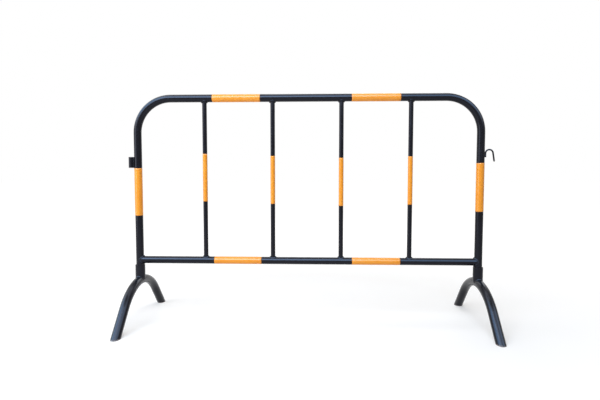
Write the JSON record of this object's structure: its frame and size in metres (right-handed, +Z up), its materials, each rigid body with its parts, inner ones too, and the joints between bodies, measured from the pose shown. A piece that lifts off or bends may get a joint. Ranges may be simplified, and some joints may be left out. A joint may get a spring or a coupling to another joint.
{
  "type": "pedestrian barrier panel",
  "caption": "Black tubular steel barrier panel with upright infill bars, orange reflective bands, a link hook and socket, and arched legs that swivel under the uprights.",
  "frame": {"origin": "on the ground, midway between the outer sides of the link hook and the link socket, in the panel's plane", "axes": "+X along the panel from the socket's end to the hook's end, +Y through the panel, +Z up"},
  "size_m": [1.6036, 0.581, 1.0003],
  "materials": {
    "black_paint": "gloss black enamel on steel tube",
    "orange_film": "yellow-orange reflective film"
  },
  "bodies": {
    "frame": {"frame_tube": "black_paint", "bottom_rail": "black_paint", "infill_bar_1": "black_paint", "infill_bar_2": "black_paint", "infill_bar_3": "black_paint", "infill_bar_4": "black_paint", "link_hook": "black_paint", "link_socket": "black_paint", "top_bar_welds": "black_paint", "bottom_bar_welds": "black_paint", "rail_end_welds": "black_paint", "hook_welds": "black_paint", "socket_welds": "black_paint", "top_band_left": "orange_film", "top_band_right": "orange_film", "bottom_band_left": "orange_film", "bottom_band_right": "orange_film", "upright_band_left": "orange_film", "upright_band_right": "orange_film", "bar_band_1": "orange_film", "bar_band_2": "orange_film", "bar_band_3": "orange_film", "bar_band_4": "orange_film"},
    "left_leg": {"left_leg_arch": "black_paint", "left_leg_sleeve": "black_paint", "left_sleeve_weld": "black_paint"},
    "right_leg": {"right_leg_arch": "black_paint", "right_leg_sleeve": "black_paint", "right_sleeve_weld": "black_paint"}
  },
  "joints": [
    {"name": "left_leg_swivel", "type": "hinge", "parent": "frame", "child": "left_leg", "pos_m": [-0.75968, 0, 0.1953], "axis": [0, 0, 1], "continuous": true},
    {"name": "right_leg_swivel", "type": "hinge", "parent": "frame", "child": "right_leg", "pos_m": [0.74032, 0, 0.1953], "axis": [0, 0, 1], "continuous": true}
  ]
}
